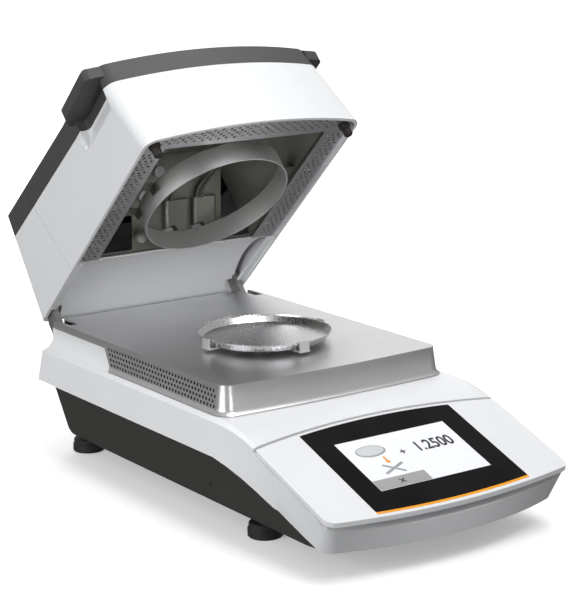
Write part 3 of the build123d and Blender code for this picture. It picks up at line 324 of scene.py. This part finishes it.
def glass_material():
    """Black-printed cover glass with a faint haze of wiping."""
    material = new_material("black_glass", (0.004, 0.004, 0.005), 0.06, Specular_IOR_Level=0.1)
    haze = add_noise(material, 30.0, detail=6.0)
    vary_roughness(material, haze, 0.04, 0.1)
    tint(material, haze, (0.003, 0.003, 0.004), (0.006, 0.006, 0.007))
    return material


def braided_material():
    """Braided glass sleeve: two crossed sets of fine bands."""
    material = new_material("glass_braid", (0.16, 0.16, 0.14), 0.7)
    tree = material.node_tree
    coordinates = tree.nodes.new("ShaderNodeTexCoord")
    mixed = tree.nodes.new("ShaderNodeMath")
    mixed.operation = "MULTIPLY"
    for index, turn in enumerate((radians(40), radians(-40))):
        mapping = tree.nodes.new("ShaderNodeMapping")
        mapping.inputs["Rotation"].default_value = (turn, 0, turn)
        wave = tree.nodes.new("ShaderNodeTexWave")
        wave.inputs["Scale"].default_value = 520.0
        tree.links.new(coordinates.outputs["Object"], mapping.inputs["Vector"])
        tree.links.new(mapping.outputs["Vector"], wave.inputs["Vector"])
        tree.links.new(wave.outputs["Fac"], mixed.inputs[index])
    add_bump(material, mixed.outputs["Value"], 0.7, 0.2 * MM)
    tint(material, mixed.outputs["Value"], (0.02, 0.02, 0.016), (0.34, 0.33, 0.28), 0.0, 1.0)
    return material


WHITE = moulded("white_moulding", (0.79, 0.8, 0.815), 0.42)
COVER = moulded("grey_moulding", (0.06, 0.06, 0.0595), 0.5, strength=0.2)
BASE = moulded("dark_moulding", (0.038, 0.0368, 0.034), 0.52, strength=0.22)
BLACK = moulded("black_moulding", (0.02, 0.0195, 0.019), 0.5, strength=0.2)
# near-black sheet behind the air frame: painted shade seen through its holes
PAINTED_SHADE_SHEET = moulded("painted_shade_sheet", (0.008, 0.008, 0.008), 0.9, grain=1400.0, strength=0.3)
RUBBER = moulded("black_rubber", (0.022, 0.018, 0.016), 0.62, strength=0.3)
SOCKET = moulded("black_socket", (0.014, 0.014, 0.015), 0.45)
SENSOR = moulded("grey_sensor", (0.42, 0.42, 0.4), 0.35)
ORANGE = moulded("orange_strip", (0.93, 0.36, 0.0), 0.35)
PLATE = brushed("brushed_plate", (0.74, 0.74, 0.75), 0.36, 0, scale=1500.0, strength=0.04, spread=0.03)
FRAME = brushed("brushed_frame", (0.56, 0.56, 0.57), 0.45, 0)
# dark olive steel, its colour darkened below the steel's own: partly its real tone, partly painted shade of
# the lid's chamber; also on the heater module and ring brackets
HOOD = brushed("brushed_hood_painted_shade", (0.21, 0.206, 0.184), 0.5, 1, strength=0.05)
RING = brushed("brushed_ring", (0.9, 0.9, 0.9), 0.46, 2, scale=400.0, strength=0.03, spread=0.03)
PAN = cast("bright_pan", (0.8, 0.8, 0.81), 0.27, 1.0, scale=900.0, strength=0.02)
ALUMINIUM = cast("milled_aluminium", (0.6, 0.61, 0.62), 0.35, 1.0)
ZINC = cast("zinc_steel", (0.5, 0.5, 0.5), 0.38, 1.0)
BRASS = cast("turned_brass", (0.7, 0.5, 0.22), 0.3, 1.0)
BOARD = cast("solder_mask", (0.015, 0.16, 0.07), 0.4, 0.0)
SUPPLY = cast("painted_case", (0.4, 0.4, 0.42), 0.45, 0.2)
GLASS = glass_material()
SCREEN = screen_material()
BRAID = braided_material()
INK = moulded("screen_ink", (0.02, 0.02, 0.022), 0.35)
GREY_INK = moulded("screen_grey", (0.34, 0.35, 0.36), 0.35)
PALE_INK = moulded("screen_pale", (0.62, 0.63, 0.65), 0.35)
FIELD_INK = moulded("screen_field_grey", (0.36, 0.36, 0.365), 0.35)
ORANGE_INK = moulded("screen_orange", (0.9, 0.36, 0.02), 0.35)

FINISHES = {
    "housing_white": WHITE, "base_grey": BASE, "cover_grey": COVER, "foot_black": BLACK,
    "stop_rubber": RUBBER, "socket_black": SOCKET, "sensor_grey": SENSOR, "accent": ORANGE,
    "plate_steel": PLATE, "pan_aluminium": PAN, "cell_aluminium": ALUMINIUM, "bracket_steel": ZINC,
    "bush_brass": BRASS, "circuit_board": BOARD, "supply_grey": SUPPLY, "glass_black": GLASS,
    "screen": SCREEN, "lead_sleeve": BRAID,
}
OWN_FINISH = {
    "perforated_frame": FRAME, "heater_hood": HOOD, "heater_module": HOOD, "shield_ring": RING,
    "ring_brackets": HOOD, "pan_support": RING,
}

for row in frame["record"]["subparts"]:
    name = row["node"]
    mesh = nodes[name].data
    mesh.materials.clear()
    mesh.materials.append(OWN_FINISH.get(name, FINISHES[row["material_slot"]]))


# Making and adding pieces

def show(obj):
    """Puts an object into the scene."""
    bpy.context.scene.collection.objects.link(obj)


def add_piece(name, mesh, body, material):
    """A new piece on a body."""
    obj = bpy.data.objects.new(name, mesh)
    mesh.materials.clear()
    mesh.materials.append(material)
    show(obj)
    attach(obj, body)
    return obj


def curve_mesh(curve):
    """A curve's mesh, in place of the curve."""
    holder = bpy.data.objects.new(curve.name, curve)
    mesh = bpy.data.meshes.new_from_object(holder)
    bpy.data.objects.remove(holder)
    bpy.data.curves.remove(curve)
    return mesh


def saved(work, name):
    """A new mesh from a finished bmesh."""
    mesh = bpy.data.meshes.new(name)
    work.to_mesh(mesh)
    work.free()
    return mesh


def ellipse(x, y, half_x, half_y, sides):
    """Points round an ellipse."""
    turns = [2 * pi * k / sides for k in range(sides)]
    return [(x + half_x * cos(turn), y + half_y * sin(turn)) for turn in turns]


def pierced_sheet(outline, holes, thickness, place):
    """A mesh of a flat sheet with holes, each point put where place says."""
    curve = bpy.data.curves.new("outline", "CURVE")
    curve.dimensions = "2D"
    curve.fill_mode = "BOTH"
    curve.extrude = thickness / 2
    for loop in [outline] + holes:
        spline = curve.splines.new("POLY")
        spline.points.add(len(loop) - 1)
        for point, (x, y) in zip(spline.points, loop):
            point.co = (x, y, 0, 1)
        spline.use_cyclic_u = True
    mesh = curve_mesh(curve)
    work = bmesh.new()
    work.from_mesh(mesh)
    for vertex in work.verts:
        vertex.co = place(*vertex.co)
    bmesh.ops.remove_doubles(work, verts=work.verts, dist=0.002 * MM)
    bmesh.ops.recalc_face_normals(work, faces=work.faces)
    work.to_mesh(mesh)
    work.free()
    return mesh


def round_holes(middles, radius, sides=14):
    """Outlines of round holes."""
    return [ellipse(x, y, radius, radius, sides) for x, y in middles]


def merge_meshes(meshes):
    """One mesh from several."""
    work = bmesh.new()
    for mesh in meshes:
        work.from_mesh(mesh)
    return saved(work, "merged")


def prism_mesh(name, outline, x_low, x_high):
    """A prism across X from an outline of depths and heights."""
    work = bmesh.new()
    near, far = [[work.verts.new(at(x, y, z)) for y, z in outline] for x in (x_low, x_high)]
    work.faces.new(near)
    work.faces.new(list(reversed(far)))
    for k in range(len(outline)):
        following = (k + 1) % len(outline)
        work.faces.new([near[k], far[k], far[following], near[following]])
    bmesh.ops.recalc_face_normals(work, faces=work.faces)
    return saved(work, name)


def cut_away(mesh, cutters):
    """A mesh less some others."""
    obj = bpy.data.objects.new("cut", mesh)
    show(obj)
    tools = []
    for cutter in cutters:
        tool = bpy.data.objects.new("cutter", cutter)
        show(tool)
        modifier = obj.modifiers.new("cut", "BOOLEAN")
        modifier.operation = "DIFFERENCE"
        modifier.solver = "EXACT"
        modifier.object = tool
        tools.append(tool)
    bpy.context.view_layer.update()
    result = bpy.data.meshes.new_from_object(obj.evaluated_get(bpy.context.evaluated_depsgraph_get()))
    for tool in tools + [obj]:
        bpy.data.objects.remove(tool)
    return result


# Air frame round the lid's opening

def air_front_arc():
    """Centre and radius of the air frame's bowed front edge."""
    radius = (AIR_HALF ** 2 + AIR_BULGE ** 2) / (2 * AIR_BULGE)
    return AIR_FRONT - AIR_BULGE + radius, radius


def air_outline():
    """The air frame's outline: bowed front, rounded front corners, open at the rear."""
    middle, radius = air_front_arc()
    inner = radius - AIR_CORNER
    corner_x = AIR_HALF - AIR_CORNER
    corner_y = middle - (inner ** 2 - corner_x ** 2) ** 0.5
    lean = atan(corner_x / (middle - corner_y))
    right = [(CAVITY_HALF, CAVITY_FRONT), (CAVITY_HALF, CAVITY_BACK), (AIR_HALF, CAVITY_BACK)]
    for step in range(CORNER_STEPS + 1):
        turn = (pi / 2 - lean) * step / CORNER_STEPS
        right.append((corner_x + AIR_CORNER * cos(turn), corner_y - AIR_CORNER * sin(turn)))
    for step in range(1, BOW_STEPS + 1):
        turn = lean * (1 - step / BOW_STEPS)
        right.append((radius * sin(turn), middle - radius * cos(turn)))
    left = [(-x, y) for x, y in reversed(right[:-1])]
    return right + left


def side_holes():
    """Middles of the staggered holes along both sides of the air frame."""
    middles = []
    for row in range(SIDE_ROWS):
        for x in SIDE_HOLES[row % 2]:
            for side in (-1, 1):
                middles.append((side * x, SIDE_FIRST + SIDE_PITCH * row))
    return middles


def front_holes():
    """Middles of the staggered holes along its front, clear of the pegs and the bowed edge."""
    middles = []
    middle, radius = air_front_arc()
    for column in range(-FRONT_COLUMNS, FRONT_COLUMNS + 1):
        x = FRONT_PITCH * column
        edge = middle - (radius ** 2 - x ** 2) ** 0.5
        for y in FRONT_HOLES[column % 2]:
            off_peg = (abs(x) - PEG[0]) ** 2 + (y - PEG[1]) ** 2 >= PEG_CLEAR ** 2
            in_bow = y > BOW_FROM or abs(x) < BOW_HALF
            if y - edge > EDGE_CLEAR and off_peg and in_bow:
                middles.append((x, y))
    return middles


def shade_sheet_outline():
    """Outline of the dark sheet of painted shade, a little inside the air frame's."""
    points = []
    for x, y in air_outline():
        if abs(x) > CAVITY_HALF + 1:
            x *= 1 - SHADE_SHEET_SIDE / AIR_HALF
        else:
            x += SHADE_SHEET_INNER if x > 0 else -SHADE_SHEET_INNER
        if y < CAVITY_FRONT - 1:
            y += SHADE_SHEET_FRONT
        elif y <= CAVITY_BACK - 1:
            y -= SHADE_SHEET_INNER
        points.append((x, y))
    return points


def air_frame_mesh():
    """The pierced sheet round the lid's opening."""
    def place(x, y, z):
        return lid_at(x, y, AIR_UP + AIR_SHEET / 2 + z)
    return pierced_sheet(air_outline(), round_holes(side_holes() + front_holes(), VENT_R), AIR_SHEET, place)


def air_shade_sheet_mesh():
    """The dark sheet of painted shade on the pierced sheet's inner side, seen through its holes."""
    def place(x, y, z):
        return lid_at(x, y, AIR_UP + AIR_SHEET + SHADE_SHEET_UP + z)
    return pierced_sheet(shade_sheet_outline(), [], SHADE_SHEET_THICK, place)


air_frame = add_piece("air_frame", air_frame_mesh(), "lid", FRAME)
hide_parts("perforated_frame")
# the dark sheet of painted shade behind the air frame's holes
add_piece("air_shade_sheet", air_shade_sheet_mesh(), "lid", PAINTED_SHADE_SHEET)


# Chamber plate with its perforated sides

def strip_end(z):
    """Depth of the perforated strip's rear end at a height."""
    return STRIP_END - STRIP_LEAN * max(0.0, STRIP_LEAN_Z - z)


def strip_run():
    """Length of the strip down the leaning wall."""
    return ((PLATE_LOW_X - PLATE_FOLD_X) ** 2 + (PLATE_FOLD_Z - PLATE_LOW_Z) ** 2) ** 0.5


def strip_place(side):
    """Puts a flat strip on the plate's leaning side wall."""
    lean_x = (PLATE_LOW_X - PLATE_FOLD_X) / strip_run()
    lean_z = (PLATE_FOLD_Z - PLATE_LOW_Z) / strip_run()

    def place(y, down, off):
        inward = off - PLATE_SHEET / 2
        return at(side * (PLATE_FOLD_X + lean_x * down + lean_z * inward), y,
                  PLATE_FOLD_Z - lean_z * down + lean_x * inward)
    return place


def side_strip(side):
    """The perforated part of one side of the chamber plate."""
    run = strip_run()
    outline = [(STRIP_FRONT, 0), (STRIP_END, 0), (STRIP_END, PLATE_FOLD_Z - STRIP_LEAN_Z),
               (strip_end(PLATE_LOW_Z), run), (STRIP_FRONT, run)]
    middles = []
    for row, z in enumerate(HOLE_ROWS):
        y = HOLE_FIRST - HOLE_PITCH / 2 * (row % 2)
        while y < strip_end(z) - HOLE_MARGIN:
            middles.append((y, (PLATE_FOLD_Z - z) * run / (PLATE_FOLD_Z - PLATE_LOW_Z)))
            y += HOLE_PITCH
    return pierced_sheet(outline, round_holes(middles, HOLE_R), PLATE_SHEET, strip_place(side))


def perforated_plate_mesh():
    """The chamber plate with its side walls' plain parts cut out and the pierced strips put in."""
    window = [(STRIP_FRONT, PLATE_FOLD_Z), (STRIP_END, PLATE_FOLD_Z), (STRIP_END, STRIP_LEAN_Z),
              (strip_end(PLATE_LOW_Z), PLATE_LOW_Z), (STRIP_FRONT, PLATE_LOW_Z)]
    cutters = [prism_mesh("window", window, -WINDOW_OUTER, -WINDOW_INNER),
               prism_mesh("window", window, WINDOW_INNER, WINDOW_OUTER)]
    blank = cut_away(nodes["chamber_plate"].data.copy(), cutters)
    return merge_meshes([blank, side_strip(-1), side_strip(1)])


plate = add_piece("perforated_plate", perforated_plate_mesh(), "base", PLATE)
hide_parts("chamber_plate")


# Leads in the hood

def smooth_lead(name, points, radius):
    """A round sleeved lead along a smooth line."""
    curve = bpy.data.curves.new(name, "CURVE")
    curve.dimensions = "3D"
    curve.bevel_depth = radius * MM
    curve.bevel_resolution = 5
    curve.use_fill_caps = True
    spline = curve.splines.new("NURBS")
    spline.points.add(len(points) - 1)
    for point, place in zip(spline.points, points):
        point.co = (*wall_at(*place), 1)
    spline.order_u = 3
    spline.use_endpoint_u = True
    spline.resolution_u = 10
    mesh = curve_mesh(curve)
    mesh.shade_smooth()
    return add_piece(name, mesh, "lid", BRAID)


def bundle_route(over, off):
    """The bundle's route for one of its leads, set over and off by so much."""
    return [(x + over * spread, along, up + off * lift)
            for (x, along, up), spread, lift in zip(BUNDLE_ROUTE, BUNDLE_SPREAD, BUNDLE_LIFT)]


leads = [smooth_lead("lead_single", LEAD_ROUTE, LEAD_R)]
for number, (over, off) in enumerate(BUNDLE):
    leads.append(smooth_lead("lead_bundle_%d" % (number + 1), bundle_route(over, off), BUNDLE_R))
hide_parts("heater_leads")


# What the screen shows, in millimetres from its middle

def flat_shape(name, outline, material, over=PRINT_SHEET):
    """A thin flat shape printed on the screen, over millimetres thick."""
    def place(x, y, z):
        return panel_at(x, SCREEN_MIDDLE + y, PRINT_LIFT + over / 2 + z)
    return add_piece(name, pierced_sheet(outline, [], over, place), "base", material)


def bar(x, y, length, width, turn):
    """A bar about a point."""
    half = length / 2
    wide = width / 2
    corners = [(-half, -wide), (half, -wide), (half, wide), (-half, wide)]
    return [(x + px * cos(turn) - py * sin(turn), y + px * sin(turn) + py * cos(turn)) for px, py in corners]


def screen_number(text, x, y, size):
    """A plain number on the screen."""
    curve = bpy.data.curves.new("number", "FONT")
    curve.body = text
    curve.size = size
    curve.extrude = NUMBER_HALF
    curve.offset = NUMBER_BOLD * size
    curve.align_x = "RIGHT"
    mesh = curve_mesh(curve)
    for vertex in mesh.vertices:
        vertex.co = panel_at(x + NUMBER_WIDTH * vertex.co.x, SCREEN_MIDDLE + y + vertex.co.y,
                             NUMBER_LIFT + vertex.co.z)
    return add_piece("screen_number", mesh, "base", INK)


def arrow_head():
    """The arrow's head, pointing down."""
    return [(ARROW_X - ARROW_HALF, ARROW_NECK), (ARROW_X, ARROW_TIP), (ARROW_X + ARROW_HALF, ARROW_NECK)]


def box_outline(low, high):
    """A rectangle between two corners."""
    return [low, (high[0], low[1]), high, (low[0], high[1])]


screen_number("1.2500", *NUMBER_END, NUMBER_SIZE)
flat_shape("screen_plus_across", bar(*PLUS, PLUS_LENGTH, BAR_WIDTH, 0), INK)
flat_shape("screen_plus_up", bar(*PLUS, PLUS_LENGTH, BAR_WIDTH, pi / 2), INK, PRINT_OVER)
flat_shape("screen_dish", ellipse(*DISH, *DISH_HALF, DISH_SIDES), GREY_INK)
flat_shape("screen_dish_inside", ellipse(*DISH_INSIDE, *DISH_INSIDE_HALF, DISH_SIDES), PALE_INK, PRINT_OVER)
flat_shape("screen_arrow_shaft", bar(ARROW_X, ARROW_SHAFT_Y, *ARROW_SHAFT, pi / 2), ORANGE_INK)
flat_shape("screen_arrow_head", arrow_head(), ORANGE_INK)
for suffix, length, turn, over in CROSS_BARS:
    flat_shape("screen_cross_" + suffix, bar(*CROSS, length, CROSS_WIDTH, turn), GREY_INK, over)
flat_shape("screen_field", box_outline(FIELD_LOW, FIELD_HIGH), FIELD_INK)
for suffix, length, turn, over in FIELD_CROSS_BARS:
    flat_shape("screen_field_cross_" + suffix, bar(*FIELD_CROSS, length, BAR_WIDTH, turn), INK, over)


# Stage

def stage_object(name, mesh, material):
    """Something that isn't part of the object, and that its light and reflections leave out."""
    mesh.materials.append(material)
    obj = bpy.data.objects.new(name, mesh)
    show(obj)
    obj.visible_diffuse = False
    obj.visible_glossy = False
    return obj


def studio_floor():
    """A white floor whose own light rises away from the object."""
    material = new_material("studio_floor", (0.93, 0.93, 0.93), 0.9, Emission_Color=(1, 1, 1, 1))
    tree = material.node_tree
    coordinates = tree.nodes.new("ShaderNodeTexCoord")
    distance = tree.nodes.new("ShaderNodeVectorMath")
    distance.operation = "LENGTH"
    tree.links.new(coordinates.outputs["Object"], distance.inputs[0])
    glow = map_range(tree, distance.outputs["Value"], (FLOOR_NEAR, FLOOR_FAR), (FLOOR_DIM, FLOOR_BRIGHT))
    feed(material, glow, "Emission Strength")
    half = FLOOR_SIZE / 2
    corners = [(-half, -half, 0), (half, -half, 0), (half, half, 0), (-half, half, 0)]
    mesh = bpy.data.meshes.new("floor")
    mesh.from_pydata(corners, [], [(0, 1, 2, 3)])
    return stage_object("floor", mesh, material)


def studio_backdrop():
    """A white sphere far round the scene, seen by the camera alone."""
    material = new_material("studio_backdrop", (0, 0, 0), 0.5, Specular_IOR_Level=0.0,
                            Emission_Color=(1, 1, 1, 1), Emission_Strength=1.0)
    work = bmesh.new()
    bmesh.ops.create_uvsphere(work, u_segments=48, v_segments=24, radius=BACKDROP_R)
    backdrop = stage_object("backdrop", saved(work, "backdrop"), material)
    backdrop.visible_shadow = False
    backdrop.visible_transmission = False
    return backdrop


def studio_world():
    """White surroundings that give more light from above than from below."""
    world = bpy.data.worlds.new("studio")
    world.use_nodes = True
    tree = world.node_tree
    background = tree.nodes["Background"]
    background.inputs["Color"].default_value = (1, 1, 1, 1)
    coordinates = tree.nodes.new("ShaderNodeTexCoord")
    height = tree.nodes.new("ShaderNodeSeparateXYZ")
    tree.links.new(coordinates.outputs["Generated"], height.inputs["Vector"])
    level = map_range(tree, height.outputs["Z"], (-WORLD_EDGE, WORLD_EDGE), (WORLD_BELOW, WORLD_ABOVE))
    tree.links.new(level, background.inputs["Strength"])
    bpy.context.scene.world = world


def aim_light(name, light, place, target):
    """Puts a light in its place, aimed at a point."""
    obj = bpy.data.objects.new(name, light)
    obj.location = place
    obj.rotation_euler = (Vector(target) - Vector(place)).to_track_quat("-Z", "Y").to_euler()
    show(obj)


def area_light(name, place, target, size, power, size_y=None):
    """A soft rectangular light."""
    light = bpy.data.lights.new(name, "AREA")
    light.energy = power
    light.size = size
    if size_y:
        light.shape = "RECTANGLE"
        light.size_y = size_y
    aim_light(name, light, place, target)


def spot_light(name, place, target, angle, power):
    """A soft round spot."""
    light = bpy.data.lights.new(name, "SPOT")
    light.energy = power
    light.spot_size = radians(angle)
    light.spot_blend = 0.9
    light.shadow_soft_size = 0.15
    aim_light(name, light, place, target)


bpy.context.scene.view_settings.view_transform = "Standard"
studio_floor()
studio_world()
area_light("key", (0.25, -0.7, 1.85), (0, 0, 0.15), 1.0, 14.8)
area_light("top", (0.35, 0.9, 1.5), (0, 0, 0.12), 1.3, 14.0)
area_light("left", (-1.7, -0.3, 0.5), (0, 0, 0.1), 1.0, 16.0)
area_light("back", (1.2, 1.8, 0.55), (0, 0, 0.1), 1.6, 1.8, 0.7)
spot_light("lid_fill", (-0.2, -1.2, 0.35), (0, 0.12, 0.2), 14.0, 38.0)
studio_backdrop()


# Camera

camera_data = bpy.data.cameras.new("camera")
camera_data.lens = CAMERA_LENS
camera_data.sensor_width = 36.0
camera_data.sensor_fit = "AUTO"
camera_data.shift_x = CAMERA_SHIFT
camera_data.clip_start = 0.05
camera_data.clip_end = 60.0
camera = bpy.data.objects.new("camera", camera_data)
aim = Matrix.Rotation(radians(CAMERA_TURN), 4, "Z") @ Matrix.Rotation(radians(90 - CAMERA_DIP), 4, "X")
roll = Matrix.Rotation(radians(CAMERA_ROLL), 4, "Z")
camera.matrix_world = Matrix.Translation(CAMERA_PLACE) @ aim @ roll
show(camera)
bpy.context.scene.camera = camera
